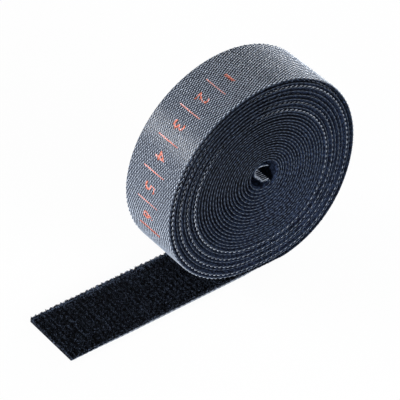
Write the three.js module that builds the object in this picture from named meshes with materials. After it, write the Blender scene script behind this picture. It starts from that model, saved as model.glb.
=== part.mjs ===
// Hook and loop tape roll: two plies bonded back to back, wound on themselves without a core.
// Units are mm. +Z is up, the roll's axis runs along Y and the tail lies along -X on the plane z = 0.
// The tape is followed from its free end: along the tail, round the roll and into the folded inner end.
import * as THREE from 'three';

// The tape
const TAPE_WIDTH = 20;
const HOOK_PLY = 0.28;
const BOND_GAP = 0.3;
const LOOP_PLY = 0.32;
const TAPE_THICKNESS = HOOK_PLY + BOND_GAP + LOOP_PLY;

// The roll, whose weight presses it flat where it stands
const ROLL_RADIUS = 34;
const CORE_RADIUS = 5.6;
const WIND_GAP = 0.33;
const FLAT_DEPTH = 1.5;
const MOST_TURNS = 24;
const PITCH = TAPE_THICKNESS + WIND_GAP;
const TURNS = Math.min(MOST_TURNS, Math.floor((ROLL_RADIUS - CORE_RADIUS) / PITCH));
const AXIS_HEIGHT = ROLL_RADIUS - FLAT_DEPTH;
const FLAT_ANGLE = Math.acos(AXIS_HEIGHT / ROLL_RADIUS);

// Steps of a turn: one flat at the bottom and the round ones. The outer turns use every round step,
// most turns every second one and the inner turns every fourth one, so the corners stay in line.
const ROUND_STEPS = 44;
const STEPS_PER_TURN = ROUND_STEPS + 1;
const STEP_ANGLE = 2 * (Math.PI - FLAT_ANGLE) / ROUND_STEPS;
const OUTER_TURNS = 2;
const INNER_TURNS = 4;
const OUTER_STRIDE = 1;
const MIDDLE_STRIDE = 2;
const INNER_STRIDE = 4;

// The folded inner end: a hairpin, loop side to loop side, then a curl that turns the other way
const FOLD_STEPS_ON = 4;
const HAIRPIN_RADIUS = 0.3;
const HAIRPIN_STEPS = 6;
const CURL_ANGLE = 1.5 * Math.PI;
const CURL_STEPS = 16;

// The hole lies off the roll's axis, and the turns drift towards its middle on the way in
const HOLE_SHIFT_X = 0.7;
const HOLE_SHIFT_Z = 1.5;

// The tail and the cuts between the stretches of tape
const TAIL_LENGTH = 66;
const LIFT_LINE = 30;
const LEAD_START = 2;
const LEAD_STEPS = 6;
const CUT_GAP = 0.3;

// Points of one ply that are nearer than this along the tape are not compared with each other
const SELF_REACH = 3;

const HOOK_SIDE = [0, HOOK_PLY];
const LOOP_SIDE = [HOOK_PLY + BOND_GAP, TAPE_THICKNESS];
const HALF_CUT = CUT_GAP / 2;
const AXIS_POINT = new THREE.Vector2(0, AXIS_HEIGHT);
const HOLE_SHIFT = new THREE.Vector2(HOLE_SHIFT_X, HOLE_SHIFT_Z);

const hookMaterial = new THREE.MeshStandardMaterial({ color: 0x6d7079, roughness: 0.62, metalness: 0 });
const loopMaterial = new THREE.MeshStandardMaterial({ color: 0x15161c, roughness: 0.95, metalness: 0 });

// A station is a point of the hook side's face, in X and Z, and the direction from there to the loop side
function station(point, toLoop) {
  return { point, toLoop };
}

function outwardAt(angle) {
  return new THREE.Vector2(Math.sin(angle), -Math.cos(angle));
}

function flatStation(x) {
  return station(new THREE.Vector2(x, 0), new THREE.Vector2(0, 1));
}

// Each turn has a flat step at the bottom, then round steps over which it comes in by one pitch
function angleOfStep(step) {
  const turn = Math.floor(step / STEPS_PER_TURN);
  const within = step - turn * STEPS_PER_TURN;
  return 2 * Math.PI * turn + FLAT_ANGLE + Math.min(within, ROUND_STEPS) * STEP_ANGLE;
}

function radiusOfStep(step) {
  const turn = Math.floor(step / STEPS_PER_TURN);
  const within = step - turn * STEPS_PER_TURN;
  return ROLL_RADIUS - PITCH * (turn + Math.min(1, within / ROUND_STEPS));
}

function centreOfStep(step) {
  const share = (ROLL_RADIUS - radiusOfStep(step)) / (ROLL_RADIUS - CORE_RADIUS);
  return AXIS_POINT.clone().addScaledVector(HOLE_SHIFT, share * share);
}

function strideOfTurn(turn) {
  if (turn < OUTER_TURNS) return OUTER_STRIDE;
  return turn < TURNS - INNER_TURNS ? MIDDLE_STRIDE : INNER_STRIDE;
}

function isCorner(step) {
  const turn = Math.floor(step / STEPS_PER_TURN);
  return (step - turn * STEPS_PER_TURN) % strideOfTurn(turn) === 0;
}

function woundStation(step) {
  const outward = outwardAt(angleOfStep(step));
  const point = outward.clone().multiplyScalar(radiusOfStep(step)).add(centreOfStep(step));
  return station(point, outward.clone().negate());
}

function foldStations(lastStep) {
  const stations = [];
  const startAngle = angleOfStep(lastStep);
  const outward = outwardAt(startAngle);
  const onward = outwardAt(startAngle + Math.PI / 2);
  const bend = HAIRPIN_RADIUS + TAPE_THICKNESS;
  const holeCentre = centreOfStep(lastStep);
  const bendCentre = outward.clone().multiplyScalar(radiusOfStep(lastStep) - bend).add(holeCentre);
  for (let i = 1; i <= HAIRPIN_STEPS; i += 1) {
    const turned = Math.PI * i / HAIRPIN_STEPS;
    const side = outward.clone().multiplyScalar(Math.cos(turned));
    side.addScaledVector(onward, Math.sin(turned));
    stations.push(station(side.clone().multiplyScalar(bend).add(bendCentre), side.clone().negate()));
  }
  const curlRadius = radiusOfStep(lastStep) - 2 * bend;
  for (let i = 1; i <= CURL_STEPS; i += 1) {
    const side = outwardAt(startAngle - CURL_ANGLE * i / CURL_STEPS);
    stations.push(station(side.clone().multiplyScalar(curlRadius).add(holeCentre), side));
  }
  return stations;
}

function cutStep(step, shift) {
  return step + shift / (radiusOfStep(step) * STEP_ANGLE);
}

function tailEndStations() {
  return [flatStation(-TAIL_LENGTH), flatStation(-LIFT_LINE - HALF_CUT)];
}

function tailStations() {
  return [flatStation(-LIFT_LINE + HALF_CUT), flatStation(LEAD_START - HALF_CUT)];
}

function leadOutStations() {
  const stations = [flatStation(LEAD_START + HALF_CUT)];
  for (let step = 0; step < LEAD_STEPS; step += 1) stations.push(woundStation(step));
  stations.push(woundStation(cutStep(LEAD_STEPS, -HALF_CUT)));
  return stations;
}

function rollStations() {
  const lastStep = TURNS * STEPS_PER_TURN + FOLD_STEPS_ON;
  const stations = [woundStation(cutStep(LEAD_STEPS, HALF_CUT))];
  for (let step = LEAD_STEPS + 1; step <= lastStep; step += 1) {
    if (isCorner(step)) stations.push(woundStation(step));
  }
  return stations.concat(foldStations(lastStep));
}

function facePoint(at, offset) {
  return at.point.clone().addScaledVector(at.toLoop, offset);
}

// A strip of constant thickness along the stations: four corners at each, walls between, an end at each end
function stripGeometry(stations, side) {
  const positions = [];
  const indices = [];
  for (const at of stations) {
    for (const offset of side) {
      const face = facePoint(at, offset);
      positions.push(face.x, -TAPE_WIDTH / 2, face.y);
      positions.push(face.x, TAPE_WIDTH / 2, face.y);
    }
  }
  const ring = [0, 1, 3, 2];
  const corners = ring.length;
  for (let i = 0; i + 1 < stations.length; i += 1) {
    for (let j = 0; j < corners; j += 1) {
      const a = i * corners + ring[j];
      const b = i * corners + ring[(j + 1) % corners];
      indices.push(a, b, b + corners, a, b + corners, a + corners);
    }
  }
  const last = (stations.length - 1) * corners;
  indices.push(ring[0], ring[2], ring[1], ring[0], ring[3], ring[2]);
  indices.push(last + ring[0], last + ring[1], last + ring[2]);
  indices.push(last + ring[0], last + ring[2], last + ring[3]);
  const geometry = new THREE.BufferGeometry();
  geometry.setAttribute('position', new THREE.Float32BufferAttribute(positions, 3));
  geometry.setIndex(indices);
  geometry.computeVertexNormals();
  return geometry;
}

function distanceToStep(p, a, b) {
  const along = b.clone().sub(a);
  const share = THREE.MathUtils.clamp(p.clone().sub(a).dot(along) / along.lengthSq(), 0, 1);
  return a.clone().addScaledVector(along, share).distanceTo(p);
}

// The least distance between points of a ply's faces and its steps elsewhere along the tape
function selfGap(stations, side) {
  const faces = side.map((offset) => stations.map((at) => facePoint(at, offset)));
  const lengths = [0];
  for (let i = 1; i < stations.length; i += 1) {
    lengths.push(lengths[i - 1] + stations[i].point.distanceTo(stations[i - 1].point));
  }
  let least = Infinity;
  for (const from of faces) {
    for (let i = 0; i < from.length; i += 1) {
      for (const to of faces) {
        for (let j = 0; j + 1 < to.length; j += 1) {
          const apart = Math.max(lengths[j] - lengths[i], lengths[i] - lengths[j + 1]);
          if (apart > SELF_REACH) least = Math.min(least, distanceToStep(from[i], to[j], to[j + 1]));
        }
      }
    }
  }
  return least;
}

const part = new THREE.Group();
part.name = 'hook_and_loop_tape_roll';

function addStretch(name, stations) {
  const hook = new THREE.Mesh(stripGeometry(stations, HOOK_SIDE), hookMaterial);
  hook.name = `${name}_hook_ply`;
  const loop = new THREE.Mesh(stripGeometry(stations, LOOP_SIDE), loopMaterial);
  loop.name = `${name}_loop_ply`;
  part.add(hook, loop);
}

const wound = rollStations();
addStretch('tail_end', tailEndStations());
addStretch('tail', tailStations());
addStretch('lead_out', leadOutStations());
addStretch('roll', wound);

const hookGap = selfGap(wound, HOOK_SIDE).toFixed(2);
const loopGap = selfGap(wound, LOOP_SIDE).toFixed(2);
console.log(`${TURNS} turns; least gap of a ply to itself: hook ${hookGap}, loop ${loopGap} mm`);

export default part;
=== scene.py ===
# Looks of the hook and loop tape roll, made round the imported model.
# Lengths are in mm, as in the part's source, and become metres where a mesh is made.
# Places on the tape are s, the length from the tail's free end, y, the place across, and the
# offset from the tips of the hooks towards the loop side.
import math

import bpy
import numpy as np
from mathutils import Matrix, Vector


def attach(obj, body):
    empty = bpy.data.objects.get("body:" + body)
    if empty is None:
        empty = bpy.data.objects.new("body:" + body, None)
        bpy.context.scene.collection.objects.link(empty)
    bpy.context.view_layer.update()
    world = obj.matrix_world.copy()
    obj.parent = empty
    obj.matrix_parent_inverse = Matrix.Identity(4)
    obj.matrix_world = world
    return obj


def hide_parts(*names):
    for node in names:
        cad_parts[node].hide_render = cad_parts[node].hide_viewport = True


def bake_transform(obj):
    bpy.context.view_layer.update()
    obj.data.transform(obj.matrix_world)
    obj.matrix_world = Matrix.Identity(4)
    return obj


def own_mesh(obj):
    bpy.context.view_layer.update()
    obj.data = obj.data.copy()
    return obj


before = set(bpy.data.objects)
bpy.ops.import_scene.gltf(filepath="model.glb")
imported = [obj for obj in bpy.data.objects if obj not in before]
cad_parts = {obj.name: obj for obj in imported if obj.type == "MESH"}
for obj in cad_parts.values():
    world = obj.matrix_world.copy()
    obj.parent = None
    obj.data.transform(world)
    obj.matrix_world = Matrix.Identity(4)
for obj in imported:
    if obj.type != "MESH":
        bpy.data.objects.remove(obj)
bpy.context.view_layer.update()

MM = 0.001
TAU = 2 * math.pi
SEED = 20
rng = np.random.default_rng(SEED)

# The tape, as offsets from the tips of its hooks
TAPE_WIDTH = 20.0
HALF_WIDTH = TAPE_WIDTH / 2
HOOK_WEB = (0.34, 0.50)
LOOP_WEB_TOP = 0.62

# The tail and where its free end bends up
TAIL_LENGTH = 66.0
LIFT_LINE = 30.0

# The roll: loose outer turns, tight inner turns, pressed at the bottom, bulging beside it.
# Angles run from the bottom of the roll towards +X and up.
AXIS_HEIGHT = 32.5
AXIS_POINT = np.array([0, AXIS_HEIGHT])
START_RADIUS = 33.75
OUTER_TURNS = 8
OUTER_PITCH = 1.28
INNER_PITCH = 0.965
WOUND_TURNS = 27.06
LAYER_LIFT = 0.87
PRESS, PRESS_SPAN = 0.95, math.radians(20)
RIGHT_BULGE, RIGHT_AT, RIGHT_SPAN = 1.3, math.radians(42), math.radians(30)
LEFT_BULGE, LEFT_AT, LEFT_SPAN = 0.35, math.radians(-75), math.radians(35)
BULGE_END = 8.0
FLOOR_REACH = math.radians(60)

# The folded inner end, a hairpin and an oval curl round the hole, which lies above the roll's
# axis. The turns drift towards it on the way in.
HOLE_SHIFT = np.array([0.4, 1.9])
DRIFT_START = 23.0
CORE_RADIUS = 5.3
HAIRPIN, HAIRPIN_POINTS = 1.6, 15
CURL_TURNED, CURL_POINTS = math.radians(242), 90
CURL_LONG, CURL_SHORT, CURL_TILT = 3.3, 1.9, math.radians(-30)
CURL_SHIFT = np.array([-0.1, 1.1])
CURL_SETTLE = 0.9
# From here on, the curl's hook edge takes a painted highlight and its hooks take painted shade
CURL_LOOKS_FROM = 2.2 * HAIRPIN

# The path of the tape is followed in even steps and smoothed over a few of them
PATH_STEP = 0.25
PATH_SMOOTHING = 2

# Turns of the seam between lead-out and roll, of the place from which the turn outside covers
# the hooks, and of the last covered hooks that can be seen past that turn
TOP_TURN, COVERED_TURN, UNDER_TURN = 0.5, 1.2, 1.52

# Alternate outer turns stand out at the front. How much they do differs from turn to turn,
# most of all at the right. The tight inner turns stand out a little and unevenly.
STAND_OUT = 0.22
STAND_PHASE, STAND_SHARP = 0.06, 1.4
STAND_VARIES, STAND_VARIES_RIGHT = 0.28, 0.24
STAND_RIGHT_AT, STAND_RIGHT_SPAN = math.radians(120), math.radians(60)
STAND_PEAK, STAND_PERIOD = 2, 6
STAND_GROWS = (0.6, 1.5)
STAND_IN = 0.07
STAND_IN_WAVES = ((5.1, 0), (7.7, 1))
TIGHT_GROWS = (OUTER_TURNS + 0.6, OUTER_TURNS + 1.6)
STAND_SHOWN = (0.0, 0.17)

# Strips: stations along them, and a ring close to each end that keeps the end's shading off them
ROLL_STATION, STATION = 0.5, 0.45
END_RING = 0.02

# The hook web's edge is wavy, and along the tail a bead grows on its hook side
EDGE_WAVE, EDGE_ROUND = 0.06, 0.05
BEAD, BEAD_OUT, BEAD_WIDE = 0.22, 0.12, 0.15
BEAD_GROWS = (4.0, 22.0)
BEAD_ENDS = (TAIL_LENGTH - 6.0, TAIL_LENGTH - 1.0)

# Hooks stand in staggered rows. Each is a tall filament bent from foot to foot.
HOOK_PITCH = 1.8
HOOK_ROW = 0.39
HOOK_MARGIN = 0.12
HOOK_LENGTH = 0.85
HOOK_RADIUS, HOOK_SIDES, HOOK_TALL = 0.045, 4, 3.2
HOOK_REACH = np.array([-0.5, -0.36, 0.0, 0.36, 0.5])
HOOK_DEPTH = np.array([0.46, 0.21, HOOK_TALL * HOOK_RADIUS + 0.01, 0.21, 0.46])
HOOK_THICK = np.array([0.75, 1.0, 1.0, 1.0, 0.75]) * HOOK_RADIUS
HOOK_SCATTER_S, HOOK_SCATTER_Y = 0.05, 0.02
HOOK_LENGTHS = (0.88, 1.1)
HOOK_SLANT, HOOK_SUNK = 0.05, 0.03
HOOK_OVERHANG = 0.1
EDGE_ROWS = 2

# A plain centimetre scale printed on the hooks
SCALE_START = 5.0
SCALE_STEP = 10.0
SCALE_MARKS = 6
DIGIT_SIZE, DIGIT_STEPS = 6.0, 3
TICK_LENGTH, TICK_WIDTH = 8.8, 0.4
INK_OFFSET, INK_THICKNESS = 0.29, 0.03

# The mass of the pile: how far it stops short of the next layer or reaches into it, its least
# and most height, and how far its sides lie inside the tape's edge, with a wave at each rib
RIB_PITCH = 1.75
PILE_SQUEEZE, PILE_ENGAGED = 0.05, 0.25
PILE_LEAST = 0.08
MOST_ON_TAIL, MOST_ON_ROLL, MOST_IN_HOLE = 0.76, 1.6, 0.85
LOOP_WEB_INSET = 0.03
MASS_INSET, MASS_RIB = 0.4, 0.14
MASS_UNEVEN, MASS_UNEVEN_RATE = 0.06, 9.7
MASS_SHOULDER, MASS_FLAT = 0.2, 0.5

# Fibres of the pile: radius, sides, and how far they keep from the ends of a stretch
FIBRE_RADIUS, FIBRE_SIDES = 0.06, 3
FIBRE_END = 0.3

# Loops on the face of the tail stand mostly across the tape and crowd at the start of a rib
FACE_PER_MM2, FACE_POINTS = 12, 5
FACE_INSET, FACE_SUNK = 0.15, 0.05
FACE_CROWD = 3
FACE_HEIGHT, FACE_HEADROOM, FACE_LEAST = (0.3, 0.75), 0.1, 0.1
FACE_SPAN, FACE_YAW = (0.35, 0.85), 0.6
FACE_LEAN, FACE_LEAN_S, FACE_LEAN_Y = 0.05, 0.15, 0.18

# Loops at an edge lie along it in tufts, one to a rib
EDGE_POINTS = 4
EDGE_INSET, EDGE_SUNK = 0.3, 0.1
TUFT_AT = 0.4
TUFT_LEAST, TUFT_LOW, TUFT_HIGH = 0.05, 0.3, 0.7
EDGE_ROOM = (0.75, 1.6)
EDGE_ROOM_KEPT, EDGE_ROOM_LEAST = 0.1, 0.05
EDGE_HEIGHT, EDGE_SPAN, EDGE_YAW, EDGE_LEAN = 0.1, (0.3, 0.9), 0.4, 0.15
EDGE_HANG = 0.3

# Shades: the beat of the hooks along a web's edge, the spread from fibre to fibre, and the place
# across the tape from which its fibres are painted lighter towards the back edge, a painted
# highlight
EDGE_BEAT = 0.25
SHADE_POWER, SHADE_GAIN, SHADE_LEAST = 3.0, 4.0, 0.06
PAINTED_HIGHLIGHT_START = 8.0

# The studio: floor, light and camera, in metres and watts
FLOOR_SIZE, FLOOR_DROP_MM = 3.0, 0.02
FLOOR_WHITE = 0.95
SKY_COLOUR, SKY_LIGHT = (0.95, 0.97, 1.0, 1), 0.13
MIRRORED_SKY = 0.5
WHITE, COOL = (1.0, 1.0, 1.0), (0.93, 0.96, 1.0)
LAMPS = (
    ("key", (-0.627, 0.545, 0.38), (0.6, 0.1), 5.1, WHITE),
    ("front", (0.15, -0.85, 0.27), (0.6, 0.3), 8.2, COOL),
    ("right", (0.9, 0.1, 0.15), (0.6, 0.25), 12.5, WHITE),
    ("left", (-0.85, -0.3, 0.07), (0.6, 0.1), 17, WHITE),
)
LAMP_AIM = (0, 0, 0.033)
CAMERA_AZIMUTH, CAMERA_ELEVATION = math.radians(-38.29), math.radians(39.48)
CAMERA_ROLL = math.radians(1.32)
CAMERA_SENSOR, CAMERA_LENS = 36, 220.93
CAMERA_UNIT, CAMERA_BACK, CAMERA_LEFT, CAMERA_DOWN = 0.034, 20.35, 0.338, 0.339


# The path of the tape, as points (x, z) of the hooks' tips
def smoothstep(x, low, high):
    t = np.clip((x - low) / (high - low), 0, 1)
    return t * t * (3 - 2 * t)


def bump(angle, at, span):
    return np.exp(-(((angle - at) / span) ** 2))


def wound_base(turn):
    """Radius of the hooks' tips before the roll is pressed."""
    tight = np.maximum(turn - OUTER_TURNS, 0)
    return START_RADIUS - OUTER_PITCH * np.minimum(turn, OUTER_TURNS) - INNER_PITCH * tight


def wound_radius(angle):
    """Radius of the hooks' tips about the turn's centre at a winding angle from the bottom."""
    turn = angle / TAU
    base = wound_base(turn)
    side = (angle + math.pi) % TAU - math.pi
    shape = RIGHT_BULGE * bump(side, RIGHT_AT, RIGHT_SPAN)
    shape = shape + LEFT_BULGE * bump(side, LEFT_AT, LEFT_SPAN)
    shape = shape - PRESS * bump(side, 0, PRESS_SPAN)
    share = np.clip((base - BULGE_END) / (START_RADIUS - BULGE_END), 0, 1)
    layer = np.floor(turn + 0.5)
    steep = np.cos(np.clip(side, -FLOOR_REACH, FLOOR_REACH))
    level = (AXIS_HEIGHT - LAYER_LIFT * layer) / steep
    level = np.where(np.abs(side) < FLOOR_REACH, level, np.inf)
    return np.minimum(base + share * shape, level)


def wound_points(angle):
    inward = (DRIFT_START - wound_base(angle / TAU)) / (DRIFT_START - CORE_RADIUS)
    drift = np.clip(inward, 0, 1) ** 2
    out = np.stack([np.sin(angle), -np.cos(angle)], -1)
    centre = AXIS_POINT + drift[:, None] * HOLE_SHIFT
    return centre + wound_radius(angle)[:, None] * out


def hairpin(wound):
    """A half turn inwards from the end of the wound tape."""
    ahead = wound[-1] - wound[-2]
    ahead /= np.linalg.norm(ahead)
    inward = np.array([-ahead[1], ahead[0]])
    turned = np.linspace(0, math.pi, HAIRPIN_POINTS)[1:, None]
    return wound[-1] + HAIRPIN * (inward * (1 - np.cos(turned)) + ahead * np.sin(turned))


def curl(start):
    """An oval round the hole, entered from the hairpin, that turns the other way."""
    hole = AXIS_POINT + HOLE_SHIFT + CURL_SHIFT
    reach = start - hole
    swept = np.linspace(0, CURL_TURNED, CURL_POINTS)[1:]
    polar = math.atan2(reach[1], reach[0]) - swept
    long_part = (np.cos(polar - CURL_TILT) / CURL_LONG) ** 2
    oval = 1 / np.sqrt(long_part + (np.sin(polar - CURL_TILT) / CURL_SHORT) ** 2)
    settle = smoothstep(swept, 0, CURL_SETTLE)
    radius = np.linalg.norm(reach) * (1 - settle) + oval * settle
    return hole + radius[:, None] * np.stack([np.cos(polar), np.sin(polar)], -1)


def tape_path():
    """Points from the tail's free end to the inner end, with their winding angles."""
    tail_x = np.arange(-TAIL_LENGTH, 0, PATH_STEP)
    tail = np.stack([tail_x, np.zeros(len(tail_x))], -1)
    angle = np.arange(0, WOUND_TURNS * TAU, PATH_STEP / START_RADIUS)
    wound = wound_points(angle)
    fold = hairpin(wound)
    inner = curl(fold[-1])
    last = np.full(len(fold) + len(inner), angle[-1])
    points = np.concatenate([tail, wound, fold, inner])
    return points, np.concatenate([np.zeros(len(tail)), angle, last])


def resampled(points, angles, step):
    along = np.cumsum(np.linalg.norm(np.diff(points, axis=0), axis=1))
    along = np.concatenate([[0], along])
    even = np.arange(0, along[-1], step)
    picked = np.stack([np.interp(even, along, points[:, i]) for i in range(2)], -1)
    return even, picked, np.interp(even, along, angles)


def smoothed(points, reach):
    kernel = np.exp(-((np.arange(-3 * reach, 3 * reach + 1) / reach) ** 2) / 2)
    kernel /= kernel.sum()
    ends = ((3 * reach, 3 * reach), (0, 0))
    padded = np.pad(points, ends, mode="reflect", reflect_type="odd")
    return np.stack([np.convolve(padded[:, i], kernel, "valid") for i in range(2)], -1)


PATH_S, PATH_P, PATH_ANGLE = resampled(*tape_path(), PATH_STEP)
PATH_P = smoothed(PATH_P, PATH_SMOOTHING)
PATH_T = np.gradient(PATH_P, axis=0)
PATH_T /= np.linalg.norm(PATH_T, axis=1)[:, None]
PATH_N = np.stack([-PATH_T[:, 1], PATH_T[:, 0]], -1)
PATH_TURN = PATH_ANGLE / TAU
TAPE_END = float(PATH_S[-1])


def stand_out():
    """How far the tape's middle is moved along Y on each turn."""
    swing = np.cos(math.pi * (PATH_TURN - STAND_PHASE))
    outer = STAND_OUT * np.tanh(STAND_SHARP * swing) / math.tanh(STAND_SHARP)
    at_right = bump(PATH_ANGLE % TAU, STAND_RIGHT_AT, STAND_RIGHT_SPAN)
    varies = STAND_VARIES + STAND_VARIES_RIGHT * at_right
    outer = outer * (1 - varies + varies * np.cos(TAU * (PATH_TURN - STAND_PEAK) / STAND_PERIOD))
    inner = STAND_IN * sum(np.sin(rate * PATH_TURN + phase) for rate, phase in STAND_IN_WAVES)
    tight = smoothstep(PATH_TURN, *TIGHT_GROWS)
    return -smoothstep(PATH_TURN, *STAND_GROWS) * (outer * (1 - tight) + inner * tight)


def room_over():
    """Distance from the hooks' tips to the next layer on the tape's loop side."""
    room = np.full(len(PATH_S), INNER_PITCH)
    covered = PATH_ANGLE < (WOUND_TURNS - 1) * TAU
    room[covered] = (wound_radius(PATH_ANGLE) - wound_radius(PATH_ANGLE + TAU))[covered]
    tail = PATH_S < TAIL_LENGTH
    under = np.arctan2(PATH_P[:, 0], AXIS_HEIGHT) + TAU
    room[tail] = (AXIS_HEIGHT - wound_radius(under) * np.cos(under))[tail]
    return room


PATH_SHIFT = stand_out()
PATH_ROOM = room_over()


def along_path(values, s):
    return np.interp(s, PATH_S, values)


def on_tape(s, y, offset):
    x = along_path(PATH_P[:, 0], s) + offset * along_path(PATH_N[:, 0], s)
    z = along_path(PATH_P[:, 1], s) + offset * along_path(PATH_N[:, 1], s)
    return np.stack([x, y + along_path(PATH_SHIFT, s), z], -1)


def s_at_turn(turn):
    wound = PATH_S >= TAIL_LENGTH
    return float(np.interp(turn, PATH_TURN[wound], PATH_S[wound]))


S_LIFT = TAIL_LENGTH - LIFT_LINE
S_FOOT = TAIL_LENGTH
S_TOP = s_at_turn(TOP_TURN)
S_COVERED = s_at_turn(COVERED_TURN)
S_UNDER = s_at_turn(UNDER_TURN)
S_TIGHT = s_at_turn(OUTER_TURNS)
S_EDGE_HOOKS_END = s_at_turn(TIGHT_GROWS[1])
S_WOUND = float(PATH_S[np.argmax(PATH_ANGLE >= PATH_ANGLE[-1])])
S_CURL = S_WOUND + CURL_LOOKS_FROM
STRETCHES = {
    "tail_end": (0.0, S_LIFT),
    "tail": (S_LIFT, S_FOOT),
    "lead_out": (S_FOOT, S_TOP),
    "roll": (S_TOP, TAPE_END),
}


# Materials
def new_material(name):
    mat = bpy.data.materials.new(name)
    mat.use_nodes = True
    tree = mat.node_tree
    return mat, tree, tree.nodes["Principled BSDF"]


def node(tree, kind, **inputs):
    made = tree.nodes.new(kind)
    for key, value in inputs.items():
        made.inputs[key].default_value = value
    return made


def math_node(tree, operation, *values):
    made = tree.nodes.new("ShaderNodeMath")
    made.operation = operation
    for slot, value in zip(made.inputs, values):
        if isinstance(value, (int, float)):
            slot.default_value = value
        else:
            tree.links.new(value, slot)
    return made.outputs["Value"]


def tape_coordinates(tree):
    uv = tree.nodes.new("ShaderNodeUVMap")
    uv.uv_map = "tape"
    return uv.outputs["UV"]


def tape_axes(tree):
    """The length along the tape as X and the place across it as Y."""
    parts = tree.nodes.new("ShaderNodeSeparateXYZ")
    tree.links.new(tape_coordinates(tree), parts.inputs["Vector"])
    return parts.outputs


def wave(tree, value, period):
    return math_node(tree, "SINE", math_node(tree, "MULTIPLY", value, TAU / period))


def noise(tree, scale, detail):
    made = node(tree, "ShaderNodeTexNoise", Scale=scale, Detail=detail)
    where = tree.nodes.new("ShaderNodeTexCoord").outputs["Object"]
    tree.links.new(where, made.inputs["Vector"])
    return made.outputs["Fac"]


def ramp(tree, factor, places, colours):
    made = tree.nodes.new("ShaderNodeValToRGB")
    for stop, place, colour in zip(made.color_ramp.elements, places, colours):
        stop.position = place
        stop.color = (*colour, 1)
    tree.links.new(factor, made.inputs["Fac"])
    return made.outputs["Color"]


def weave(tree, along, across):
    """A plain weave: two sets of yarn bands across each other."""
    axes = tape_axes(tree)
    bands = wave(tree, axes["X"], along), wave(tree, axes["Y"], across)
    return math_node(tree, "MULTIPLY_ADD", math_node(tree, "MULTIPLY", *bands), 0.5, 0.5)


def surface(shader, roughness, gloss):
    shader.inputs["Roughness"].default_value = roughness
    shader.inputs["Specular IOR Level"].default_value = gloss


def add_bump(tree, shader, height, strength, depth):
    made = node(tree, "ShaderNodeBump", Strength=strength, Distance=depth * MM)
    tree.links.new(height, made.inputs["Height"])
    tree.links.new(made.outputs["Normal"], shader.inputs["Normal"])


def hook_web_material(name, dark, light):
    mat, tree, shader = new_material(name)
    height = weave(tree, HOOK_PITCH / 2, HOOK_ROW)
    mixed = math_node(tree, "ADD", height, noise(tree, scale=900, detail=3))
    colour = ramp(tree, mixed, (0.5, 1.0), (dark, light))
    tree.links.new(colour, shader.inputs["Base Color"])
    surface(shader, roughness=0.27, gloss=0.38)
    add_bump(tree, shader, height, strength=0.3, depth=0.06)
    return mat


def hook_edge_material(name, dark, light):
    mat, tree, shader = new_material(name)
    beat = wave(tree, tape_axes(tree)["X"], HOOK_PITCH)
    grain = noise(tree, scale=1300, detail=3)
    beaten = math_node(tree, "MULTIPLY_ADD", beat, EDGE_BEAT, grain)
    colour = ramp(tree, beaten, (0.3, 0.75), (dark, light))
    tree.links.new(colour, shader.inputs["Base Color"])
    surface(shader, roughness=0.6, gloss=0.15)
    add_bump(tree, shader, noise(tree, scale=4000, detail=2), strength=0.3, depth=0.05)
    return mat


def hook_material(name, dark, light):
    mat, tree, shader = new_material(name)
    colour = ramp(tree, noise(tree, scale=1500, detail=2), (0.3, 0.7), (dark, light))
    tree.links.new(colour, shader.inputs["Base Color"])
    surface(shader, roughness=0.32, gloss=0.75)
    add_bump(tree, shader, noise(tree, scale=6000, detail=2), strength=0.15, depth=0.03)
    return mat


def fibre_shade(tree, rib, rim):
    """A factor that differs from fibre to fibre and along the ribs, and paints a highlight at the
    back edge.
    """
    axes = tape_axes(tree)
    single = tree.nodes.new("ShaderNodeTexWhiteNoise")
    single.noise_dimensions = "2D"
    tree.links.new(tape_coordinates(tree), single.inputs["Vector"])
    few_light = math_node(tree, "POWER", single.outputs["Value"], SHADE_POWER)
    fibre = math_node(tree, "MULTIPLY_ADD", few_light, SHADE_GAIN, SHADE_LEAST)
    ribbed = math_node(tree, "MULTIPLY_ADD", wave(tree, axes["X"], RIB_PITCH), rib, 1.0)
    # Towards the back edge the fibres are painted lighter: a painted highlight.
    past_start = math_node(tree, "SUBTRACT", axes["Y"], PAINTED_HIGHLIGHT_START)
    near_edge = math_node(tree, "MAXIMUM", past_start, 0.0)
    rimmed = math_node(tree, "MULTIPLY_ADD", near_edge, rim / (HALF_WIDTH - PAINTED_HIGHLIGHT_START), 1.0)
    return math_node(tree, "MULTIPLY", math_node(tree, "MULTIPLY", fibre, ribbed), rimmed)


def pile_material(name, dark, light, scale, gloss, sheen=0.0, rib=0.0, rim=0.0):
    mat, tree, shader = new_material(name)
    colour = ramp(tree, noise(tree, scale, detail=4), (0.42, 0.62), (dark, light))
    shaded = tree.nodes.new("ShaderNodeVectorMath")
    shaded.operation = "SCALE"
    tree.links.new(colour, shaded.inputs["Vector"])
    tree.links.new(fibre_shade(tree, rib, rim), shaded.inputs["Scale"])
    tree.links.new(shaded.outputs["Vector"], shader.inputs["Base Color"])
    surface(shader, roughness=0.75, gloss=gloss)
    shader.inputs["Sheen Weight"].default_value = sheen
    shader.inputs["Sheen Roughness"].default_value = 0.5
    shader.inputs["Sheen Tint"].default_value = (0.45, 0.62, 1.0, 1)
    add_bump(tree, shader, noise(tree, scale=5000, detail=3), strength=0.4, depth=0.08)
    return mat


def shown_rays(tree, mirrored=1.0):
    """1 for what the camera sees, and a share of that for what is mirrored in the part."""
    seen = tree.nodes.new("ShaderNodeLightPath").outputs
    straight = math_node(tree, "MAXIMUM", seen["Is Camera Ray"], seen["Is Transmission Ray"])
    glossy = math_node(tree, "MULTIPLY", seen["Is Glossy Ray"], mirrored)
    return math_node(tree, "MAXIMUM", straight, glossy)


def mix_shaders(tree, factor, first, second, output):
    mix = tree.nodes.new("ShaderNodeMixShader")
    tree.links.new(factor, mix.inputs["Fac"])
    tree.links.new(first, mix.inputs[1])
    tree.links.new(second, mix.inputs[2])
    tree.links.new(mix.outputs["Shader"], tree.nodes[output].inputs["Surface"])


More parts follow.
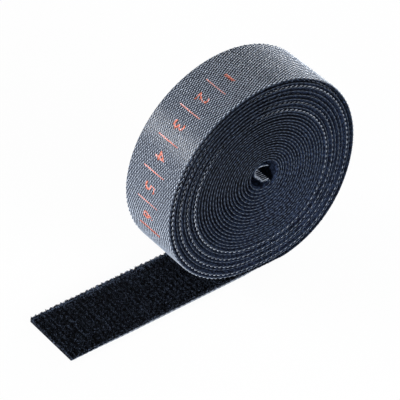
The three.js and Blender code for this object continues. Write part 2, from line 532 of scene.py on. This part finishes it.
def floor_material():
    mat, tree, shader = new_material("studio_floor")
    shader.inputs["Base Color"].default_value = (0.9, 0.9, 0.9, 1)
    shader.inputs["Roughness"].default_value = 0.9
    white = node(tree, "ShaderNodeEmission", Strength=1.0)
    share = math_node(tree, "MULTIPLY", shown_rays(tree), FLOOR_WHITE)
    mix_shaders(tree, share, shader.outputs["BSDF"], white.outputs["Emission"], "Material Output")
    return mat


HOOK_WEB_LOOK = hook_web_material(
    "hook_web", (0.007, 0.009, 0.014), (0.022, 0.027, 0.040))
WOUND_EDGE_LOOK = hook_edge_material(
    "hook_edge_wound", (0.0055, 0.008, 0.013), (0.057, 0.075, 0.106))
# On the tail's edges the hook edge is painted lighter: painted light, as from the white floor
# below.
TAIL_EDGE_LIT_LOOK = hook_edge_material(
    "hook_edge_tail_painted_light", (0.11, 0.127, 0.155), (0.25, 0.28, 0.33))
# Round the hole the hook edge is painted lighter: a painted highlight on the rim.
CURL_EDGE_LIT_LOOK = hook_edge_material(
    "hook_edge_curl_painted_light", (0.03, 0.036, 0.046), (0.24, 0.27, 0.32))
HOOK_LOOK = hook_material(
    "hook_filament", (0.221, 0.253, 0.310), (0.322, 0.366, 0.440))
# Hooks at the front edges, between the turns, are painted darker: painted shade.
EDGE_HOOK_SHADED_LOOK = hook_material(
    "hook_filament_edge_painted_shade", (0.146, 0.165, 0.202), (0.238, 0.266, 0.317))
# Hooks in the hole and under the turn outside are painted darker: painted shade.
INNER_HOOK_SHADED_LOOK = hook_material(
    "hook_filament_inner_painted_shade", (0.13, 0.15, 0.19), (0.24, 0.27, 0.33))
INK_LOOK = hook_material(
    "scale_ink", (0.39, 0.10, 0.068), (0.51, 0.153, 0.102))
# Hook web covered by the next turn is painted near black: painted shade between the turns.
COVERED_WEB_SHADE_LOOK = pile_material(
    "hook_web_covered_painted_shade", (0.002, 0.0025, 0.004), (0.008, 0.010, 0.016), scale=1100, gloss=0.05)
TAIL_LOOP_LOOK = pile_material(
    "loop_web_tail", (0.001, 0.0013, 0.002), (0.004, 0.005, 0.008), scale=900, gloss=0.06)
# Its rim paints a highlight along the tail's back edge.
TAIL_PILE_LOOK = pile_material(
    "loop_pile_tail", (0.0010, 0.0013, 0.002), (0.034, 0.044, 0.066), scale=2500, gloss=0.06,
    sheen=0.004, rib=0.14, rim=1.6)
WOUND_LOOP_LOOK = pile_material(
    "loop_web_wound", (0.002, 0.0032, 0.008), (0.011, 0.017, 0.034), scale=1100, gloss=0.04)
WOUND_PILE_LOOK = pile_material(
    "loop_pile_wound", (0.002, 0.0035, 0.008), (0.015, 0.022, 0.040), scale=900, gloss=0.05,
    sheen=0.004)


# Meshes
def mesh_object(name, points, faces, s=None, y=None):
    mesh = bpy.data.meshes.new(name)
    mesh.vertices.add(len(points))
    mesh.vertices.foreach_set("co", (points * MM).astype(np.float32).ravel())
    corners = np.concatenate([f.ravel() for f in faces]).astype(np.int32)
    counts = np.concatenate([np.full(len(f), f.shape[1]) for f in faces])
    mesh.loops.add(len(corners))
    mesh.loops.foreach_set("vertex_index", corners)
    mesh.polygons.add(len(counts))
    starts = np.concatenate([[0], np.cumsum(counts)[:-1]]).astype(np.int32)
    mesh.polygons.foreach_set("loop_start", starts)
    mesh.polygons.foreach_set("use_smooth", np.ones(len(counts), bool))
    if s is not None:
        uv = mesh.uv_layers.new(name="tape")
        flat = np.stack([s, y], -1)[corners]
        uv.data.foreach_set("uv", flat.astype(np.float32).ravel())
    mesh.update(calc_edges=True)
    mesh.validate()
    obj = bpy.data.objects.new(name, mesh)
    bpy.context.scene.collection.objects.link(obj)
    return obj


def ring_faces(stations, corners):
    i = np.arange(stations - 1)[:, None] * corners
    a = np.arange(corners)[None, :]
    b = (a + 1) % corners
    return np.stack([i + a, i + b, i + b + corners, i + a + corners], -1).reshape(-1, 4)


def strip(name, span, step, section, looks, edge_sides, covered_sides=()):
    """A closed strip of the tape: section(s) gives a ring of offsets and places across.

    The looks are those of the faces, of the edge sides of the ring, of whatever the next turn
    covers, which takes in the covered sides too, and of the edge sides in the curl. On the hook
    web the covered look is painted shade and the curl's edge look a painted highlight.
    """
    count = max(3, int(round((span[1] - span[0]) / step)) + 1)
    s = np.linspace(span[0] + END_RING, span[1] - END_RING, count)
    s = np.concatenate([[span[0]], s, [span[1]]])
    offset, across = section(s)
    count, corners = offset.shape
    s_all = np.repeat(s[:, None], corners, 1).ravel()
    points = on_tape(s_all, across.ravel(), offset.ravel())
    first = np.arange(corners)[None, ::-1]
    last = (np.arange(corners) + (count - 1) * corners)[None, :]
    faces = [ring_faces(count, corners), first, last]
    piece = mesh_object(name, points, faces, s_all, across.ravel())
    for look in looks:
        piece.data.materials.append(look)
    # Covered faces and sides get painted shade on the hook web; the curl's edge sides a painted
    # highlight.
    covered = (s[:-1] > S_COVERED) & (s[:-1] < S_WOUND)
    index = np.zeros((count - 1, corners), np.int32)
    index[covered] = 2
    index[:, edge_sides] = 1
    index[np.ix_(covered, covered_sides)] = 2
    index[np.ix_(s[:-1] >= S_CURL, edge_sides)] = 3
    of_face = np.append(index.ravel(), [0, 0]).astype(np.int32)
    piece.data.polygons.foreach_set("material_index", of_face)
    for cap in piece.data.polygons[-2:]:
        cap.use_smooth = False
    return piece


def unit(v):
    return v / np.maximum(np.linalg.norm(v, axis=-1, keepdims=True), 1e-12)


def tubes(name, lines, radius, sides, up, s, y, tall=1.0):
    """Closed tubes along many short lines (line, point, xyz), with a radius at each point."""
    count, steps = lines.shape[:2]
    ahead = unit(np.gradient(lines, axis=1))
    side = unit(np.cross(ahead, np.broadcast_to(up[:, None, :], ahead.shape)))
    over = np.cross(side, ahead)
    turn = np.arange(sides) * TAU / sides
    ring = side[:, :, None, :] * np.cos(turn)[None, None, :, None]
    ring = ring + over[:, :, None, :] * (tall * np.sin(turn))[None, None, :, None]
    points = (lines[:, :, None, :] + ring * radius[..., None, None]).reshape(-1, 3)
    per_line = steps * sides
    begin = np.arange(count)[:, None, None] * per_line
    walls = (begin + ring_faces(steps, sides)[None, :, ::-1]).reshape(-1, 4)
    first = (begin[:, :, 0] + np.arange(sides)[None, :]).reshape(-1, sides)
    last = (begin[:, :, 0] + (per_line - sides) + np.arange(sides)[None, ::-1]).reshape(-1, sides)
    faces = [walls, first, last]
    return mesh_object(name, points, faces, np.repeat(s, per_line), np.repeat(y, per_line))


# The strips: hook web, and loop web with the mass of its pile
HOOK_EDGE_SIDES = (3, 4, 8, 9)
HOOKWARD_SIDES = (3, 9)
LOOP_EDGE_SIDES = (1, 9)


def at_stations(s, values):
    return np.stack([0 * s + v for v in values], -1)


def hook_section(s):
    low, high = HOOK_WEB
    share = smoothstep(s, *BEAD_GROWS) * (1 - smoothstep(s, *BEAD_ENDS))
    drawn_in = EDGE_WAVE * (0.5 + 0.5 * np.cos(s * TAU / HOOK_PITCH))
    edge = HALF_WIDTH - drawn_in + BEAD_OUT * share
    rim = edge - EDGE_ROUND
    inner = rim - BEAD_WIDE
    middle = (low + high) / 2
    bead = low - BEAD * share
    offset = at_stations(s, (bead, low, low, bead, middle, high, high, high, high, middle))
    across = at_stations(s, (-rim, -inner, inner, rim, edge, rim, inner, -inner, -rim, -edge))
    return offset, across


def pile_top(s, most):
    """The pile stops short of the next layer, but on the roll it fills the space of the hooks."""
    reach = np.where(s > S_TOP, PILE_ENGAGED, -PILE_SQUEEZE)
    return np.clip(along_path(PATH_ROOM, s) + reach, LOOP_WEB_TOP + PILE_LEAST, most)


def loop_section(s):
    most = np.where(s < S_WOUND, MOST_ON_ROLL, MOST_IN_HOLE)
    top = pile_top(s, np.where(s < S_FOOT, MOST_ON_TAIL, most))
    web = HALF_WIDTH - LOOP_WEB_INSET
    ribs = MASS_RIB * np.cos(s * TAU / RIB_PITCH)
    mass = HALF_WIDTH - MASS_INSET + ribs + MASS_UNEVEN * np.sin(s * MASS_UNEVEN_RATE)
    shoulder, flat = mass - MASS_SHOULDER, mass - MASS_FLAT
    low, high = HOOK_WEB[1], LOOP_WEB_TOP
    waist = (high + top) / 2
    offset = at_stations(s, (low, low, high, waist, top, top, top, top, waist, high))
    across = at_stations(s, (-web, web, web, mass, shoulder, flat, -flat, -shoulder, -mass, -web))
    return offset, across


# Hooks: all rows where the face shows, elsewhere the rows at the edges that stand out, and the
# rows between them where the turn outside leaves a slit
def shown_at_edge(s, y):
    return smoothstep(np.sign(y) * along_path(PATH_SHIFT, s), *STAND_SHOWN)


def hook_places(span, which, in_line):
    """Places of all the hooks, of the middle rows, or of edge rows where a turn stands out.

    In line, each odd row moves onto the even row before it, so that the rows show as stripes.
    """
    rows = int((TAPE_WIDTH - 2 * HOOK_MARGIN) / HOOK_ROW) + 1
    across = (np.arange(rows) - (rows - 1) / 2) * HOOK_ROW
    first, last = math.ceil(span[0] / HOOK_PITCH), math.ceil(span[1] / HOOK_PITCH)
    s, j = np.meshgrid(np.arange(first, last) * HOOK_PITCH, np.arange(rows), indexing="ij")
    s, j = s.ravel(), j.ravel()
    at_edge = (j < EDGE_ROWS) | (j >= rows - EDGE_ROWS)
    keep = {"all": j >= 0, "edge": at_edge, "middle": ~at_edge}[which]
    s, j = s[keep], j[keep]
    s, y = s + (j % 2) * HOOK_PITCH / 2, across[j - j % 2 if in_line else j]
    keep = (s > HOOK_LENGTH) & (s < TAPE_END - HOOK_LENGTH)
    if which == "edge":
        keep &= shown_at_edge(s, y) > 0
        y = y + np.sign(y) * HOOK_OVERHANG
    return s[keep], y[keep]


def hooks(name, span, look, which="all", marks=(), in_line=False):
    s, y = hook_places(span, which, in_line)
    count = len(s)
    inked = in_marks(marks, s, y)
    s = s + rng.normal(0, HOOK_SCATTER_S, count)
    y = y + rng.normal(0, HOOK_SCATTER_Y, count)
    length = HOOK_LENGTH * rng.uniform(*HOOK_LENGTHS, count)
    slant = rng.normal(0, HOOK_SLANT, count)
    s_line = s[:, None] + HOOK_REACH * length[:, None]
    y_line = y[:, None] + HOOK_REACH * slant[:, None]
    sunk = rng.uniform(0, HOOK_SUNK, count)[:, None]
    lines = on_tape(s_line, y_line, HOOK_DEPTH[None, :] + sunk)
    up = -np.stack([along_path(PATH_N[:, 0], s), 0 * s, along_path(PATH_N[:, 1], s)], -1)
    size = shown_at_edge(s, y) if which == "edge" else np.ones(count)
    piece = tubes(name, lines, size[:, None] * HOOK_THICK, HOOK_SIDES, up, s, y, HOOK_TALL)
    piece.data.materials.append(look)
    if inked.any():
        piece.data.materials.append(INK_LOOK)
        walls = HOOK_SIDES * (len(HOOK_REACH) - 1)
        of_face = np.concatenate([np.repeat(inked, walls), inked, inked])
        piece.data.polygons.foreach_set("material_index", of_face.astype(np.int32))
    return piece


# The printed scale, as flat triangles (s, y) of the tape
def digit_triangles(text, s):
    curve = bpy.data.curves.new("digit", "FONT")
    curve.body, curve.size, curve.resolution_u = text, DIGIT_SIZE, DIGIT_STEPS
    curve.align_x, curve.align_y = "CENTER", "CENTER"
    obj = bpy.data.objects.new("digit", curve)
    bpy.context.scene.collection.objects.link(obj)
    mesh = obj.to_mesh()
    mesh.calc_loop_triangles()
    points = np.array([v.co[:2] for v in mesh.vertices])
    corners = np.array([t.vertices[:] for t in mesh.loop_triangles])
    bpy.data.objects.remove(obj)
    bpy.data.curves.remove(curve)
    return np.stack([s + points[:, 0], -points[:, 1]], -1)[corners]


def tick_triangles(s):
    low, high = s - TICK_WIDTH / 2, s + TICK_WIDTH / 2
    a, b = (low, -TICK_LENGTH / 2), (high, -TICK_LENGTH / 2)
    c, d = (high, TICK_LENGTH / 2), (low, TICK_LENGTH / 2)
    return np.array([(a, b, c), (a, c, d)])


def scale_marks():
    marks = []
    for i in range(SCALE_MARKS):
        s = S_TOP + SCALE_START + i * SCALE_STEP
        marks.append(digit_triangles(str(i + 1), s))
        marks.append(tick_triangles(s + SCALE_STEP / 2))
    return np.concatenate(marks)


def in_marks(marks, s, y):
    """Whether each place of the tape lies in one of the triangles."""
    found = np.zeros(len(s), bool)
    for a, b, c in marks:
        sides = []
        for (s0, y0), (s1, y1) in ((a, b), (b, c), (c, a)):
            sides.append((s1 - s0) * (y - y0) - (y1 - y0) * (s - s0))
        found |= (np.min(sides, axis=0) >= 0) | (np.max(sides, axis=0) <= 0)
    return found


def ink(name, marks):
    """Each triangle of the marks as a thin slab on the hook web."""
    s, y = marks.reshape(-1, 2).T
    layers = [on_tape(s, y, INK_OFFSET + shift) for shift in (0, INK_THICKNESS)]
    count = len(s)
    tri = np.arange(count).reshape(-1, 3)
    over = np.roll(tri, -1, axis=1)
    walls = np.stack([tri, over, over + count, tri + count], -1).reshape(-1, 4)
    faces = [tri, tri[:, ::-1] + count, walls]
    piece = mesh_object(name, np.concatenate(layers), faces, np.tile(s, 2), np.tile(y, 2))
    piece.data.materials.append(INK_LOOK)
    return piece


# Pile: fine loops that stand on the loop web. A batch of them is a tuple of arrays.
def pile_lines(s, y, base, height, size, yaw, lean, points):
    t = np.linspace(0, 1, points)[None, :]
    flat = size[:, None] * (t - 0.5)
    rise = np.sin(math.pi * t)
    s_line = s[:, None] + flat * np.cos(yaw)[:, None] + lean[0][:, None] * rise
    y_line = y[:, None] + flat * np.sin(yaw)[:, None] + lean[1][:, None] * rise
    return on_tape(s_line, y_line, base[:, None] + height[:, None] * rise)


def face_pile(span):
    count = int((span[1] - span[0]) * TAPE_WIDTH * FACE_PER_MM2)
    rib = np.floor(rng.uniform(span[0], span[1], count) / RIB_PITCH) * RIB_PITCH
    s = rib + RIB_PITCH * rng.uniform(0, 1, count) ** FACE_CROWD
    s = np.clip(s, span[0] + FIBRE_END, span[1] - FIBRE_END)
    y = rng.uniform(-HALF_WIDTH + FACE_INSET, HALF_WIDTH - FACE_INSET, count)
    headroom = along_path(PATH_ROOM, s) - LOOP_WEB_TOP - FACE_HEADROOM
    height = np.minimum(rng.uniform(*FACE_HEIGHT, count), headroom)
    height = np.maximum(height, FACE_LEAST)
    size = rng.uniform(*FACE_SPAN, count)
    yaw = math.pi / 2 + rng.normal(0, FACE_YAW, count)
    lean = (rng.normal(FACE_LEAN, FACE_LEAN_S, count), rng.normal(0, FACE_LEAN_Y, count))
    return s, y, np.full(count, LOOP_WEB_TOP - FACE_SUNK), height, size, yaw, lean


def edge_pile(span, per_mm, edge, reach, hang=EDGE_HANG):
    """Loops at the front edge (-1) or the back edge (1) that hang over it and reach beyond."""
    count = int((span[1] - span[0]) * per_mm)
    s = rng.uniform(span[0] + FIBRE_END, span[1] - FIBRE_END, count)
    tuft = 0.5 + 0.5 * np.cos((s - TUFT_AT) * TAU / RIB_PITCH)
    out = edge * rng.uniform(TUFT_LEAST, TUFT_LOW + TUFT_HIGH * tuft, count) * reach
    room = np.clip(along_path(PATH_ROOM, s), *EDGE_ROOM) - LOOP_WEB_TOP - EDGE_ROOM_KEPT
    room = np.maximum(room, EDGE_ROOM_LEAST)
    base = LOOP_WEB_TOP - EDGE_SUNK + rng.uniform(0, 1, count) * room
    height = rng.normal(0, EDGE_HEIGHT, count)
    size = rng.uniform(*EDGE_SPAN, count)
    y = np.full(count, edge * (HALF_WIDTH - EDGE_INSET))
    lean = (rng.normal(0, EDGE_LEAN, count), out + edge * hang)
    yaw = rng.normal(0, EDGE_YAW, count)
    return s, y, base, height, size, yaw, lean


def pile(name, batches, points):
    lines = np.concatenate([pile_lines(*batch, points) for batch in batches])
    s = np.concatenate([batch[0] for batch in batches])
    y = np.concatenate([batch[1] for batch in batches])
    up = unit(rng.normal(size=(len(s), 3)))
    radius = np.full(lines.shape[:2], FIBRE_RADIUS)
    return tubes(name, lines, radius, FIBRE_SIDES, up, s, y)


# Each stretch of tape: strips stand for the CAD plies, hooks and pile lie on them.
def place(piece, stretch, slot):
    if stretch == "tail_end":
        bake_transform(piece)
    elif stretch == "tail":
        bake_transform(piece)
    elif stretch == "lead_out":
        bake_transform(piece)
    else:
        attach(piece, "roll")
        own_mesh(piece)


def roll_pieces(span):
    marks = scale_marks()
    hook_pieces = [
        hooks("roll_hooks", (span[0], S_COVERED), HOOK_LOOK, marks=marks),
        ink("roll_scale_ink", marks),
        # The edge hooks take the hook look painted darker: painted shade between the turns.
        hooks("roll_edge_hooks", (S_COVERED, S_EDGE_HOOKS_END), EDGE_HOOK_SHADED_LOOK, "edge"),
        # These hooks, under the turn outside and in the hole, are painted darker: painted shade.
        hooks("roll_under_hooks", (S_COVERED, S_UNDER), INNER_HOOK_SHADED_LOOK, "middle"),
        hooks("roll_inner_hooks", (S_CURL, span[1]), INNER_HOOK_SHADED_LOOK, in_line=True),
    ]
    pile_pieces = []
    for edge, word in ((-1, "front"), (1, "back")):
        for part, ends in (("outer", (span[0], S_TIGHT)), ("inner", (S_TIGHT, span[1]))):
            batch = edge_pile(ends, per_mm=9, edge=edge, reach=0.14, hang=0.12)
            pile_pieces.append(pile(f"roll_pile_{word}_{part}", [batch], EDGE_POINTS))
    return hook_pieces, pile_pieces


def lead_out_pieces(span):
    batches = [edge_pile(span, per_mm=10, edge=edge, reach=0.14) for edge in (-1, 1)]
    hook_pieces = [hooks("lead_out_hooks", span, HOOK_LOOK)]
    return hook_pieces, [pile("lead_out_pile", batches, EDGE_POINTS)]


def tail_pieces(stretch, span):
    batches = [
        edge_pile(span, per_mm=8, edge=-1, reach=0.0, hang=0.08),
        edge_pile(span, per_mm=55, edge=1, reach=0.85),
        face_pile(span),
    ]
    hook_pieces = [hooks(f"{stretch}_hooks", span, HOOK_LOOK)]
    return hook_pieces, [pile(f"{stretch}_pile", batches, FACE_POINTS)]


def build_stretch(stretch):
    span = STRETCHES[stretch]
    if stretch in ("roll", "lead_out"):
        edge_look, loop_look, pile_look = WOUND_EDGE_LOOK, WOUND_LOOP_LOOK, WOUND_PILE_LOOK
    else:
        edge_look, loop_look, pile_look = TAIL_EDGE_LIT_LOOK, TAIL_LOOP_LOOK, TAIL_PILE_LOOK
    step = ROLL_STATION if stretch == "roll" else STATION
    hook_looks = (HOOK_WEB_LOOK, edge_look, COVERED_WEB_SHADE_LOOK, CURL_EDGE_LIT_LOOK)
    hook_web = strip(f"{stretch}_hook_web", span, step, hook_section, hook_looks,
                     HOOK_EDGE_SIDES, HOOKWARD_SIDES)
    loop_looks = (loop_look, edge_look, loop_look, edge_look)
    loop_web = strip(f"{stretch}_loop_web", span, step, loop_section, loop_looks, LOOP_EDGE_SIDES)
    place(hook_web, stretch, "hook_ply")
    place(loop_web, stretch, "loop_ply")
    if stretch == "roll":
        hook_pieces, pile_pieces = roll_pieces(span)
    elif stretch == "lead_out":
        hook_pieces, pile_pieces = lead_out_pieces(span)
    else:
        hook_pieces, pile_pieces = tail_pieces(stretch, span)
    for piece in hook_pieces:
        place(piece, stretch, "hook_ply")
    for piece in pile_pieces:
        piece.data.materials.append(pile_look)
        place(piece, stretch, "loop_ply")
    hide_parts(f"{stretch}_hook_ply")
    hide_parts(f"{stretch}_loop_ply")


for stretch_name in STRETCHES:
    build_stretch(stretch_name)


# Floor, light and camera
def add_floor():
    corners = np.array([(-1, -1, 0), (1, -1, 0), (1, 1, 0), (-1, 1, 0)]) * FLOOR_SIZE / MM
    corners = corners - np.array([0, 0, FLOOR_DROP_MM])
    floor = mesh_object("floor", corners, [np.array([[0, 1, 2, 3]])])
    floor.data.materials.append(floor_material())


def add_world():
    world = bpy.data.worlds.new("studio")
    world.use_nodes = True
    tree = world.node_tree
    light = tree.nodes["Background"]
    light.inputs["Color"].default_value = SKY_COLOUR
    light.inputs["Strength"].default_value = SKY_LIGHT
    white = node(tree, "ShaderNodeBackground", Strength=1.0)
    backgrounds = light.outputs["Background"], white.outputs["Background"]
    mix_shaders(tree, shown_rays(tree, MIRRORED_SKY), *backgrounds, "World Output")
    bpy.context.scene.world = world


def add_lamp(name, where, size, watts, colour):
    lamp = bpy.data.lights.new(name, "AREA")
    lamp.shape = "RECTANGLE"
    lamp.size, lamp.size_y = size
    lamp.energy = watts
    lamp.color = colour
    obj = bpy.data.objects.new(name, lamp)
    bpy.context.scene.collection.objects.link(obj)
    obj.location = where
    obj.rotation_euler = (Vector(LAMP_AIM) - Vector(where)).to_track_quat("-Z", "Y").to_euler()


def add_camera():
    level = math.cos(CAMERA_ELEVATION)
    back = Vector((math.sin(CAMERA_AZIMUTH) * level, -math.cos(CAMERA_AZIMUTH) * level,
                   math.sin(CAMERA_ELEVATION)))
    right = Vector((math.cos(CAMERA_AZIMUTH), math.sin(CAMERA_AZIMUTH), 0))
    up = back.cross(right)
    x_axis = right * math.cos(CAMERA_ROLL) + up * math.sin(CAMERA_ROLL)
    y_axis = up * math.cos(CAMERA_ROLL) - right * math.sin(CAMERA_ROLL)
    camera = bpy.data.cameras.new("camera")
    camera.sensor_width = CAMERA_SENSOR
    camera.lens = CAMERA_LENS
    obj = bpy.data.objects.new("camera", camera)
    bpy.context.scene.collection.objects.link(obj)
    where = back * CAMERA_BACK - x_axis * CAMERA_LEFT - y_axis * CAMERA_DOWN + Vector((0, 0, 1))
    turn = Matrix((x_axis, y_axis, back)).transposed().to_4x4()
    obj.matrix_world = Matrix.Translation(CAMERA_UNIT * where) @ turn
    bpy.context.scene.camera = obj


add_floor()
add_world()
for lamp_values in LAMPS:
    add_lamp(*lamp_values)
add_camera()
bpy.context.scene.view_settings.view_transform = "Standard"
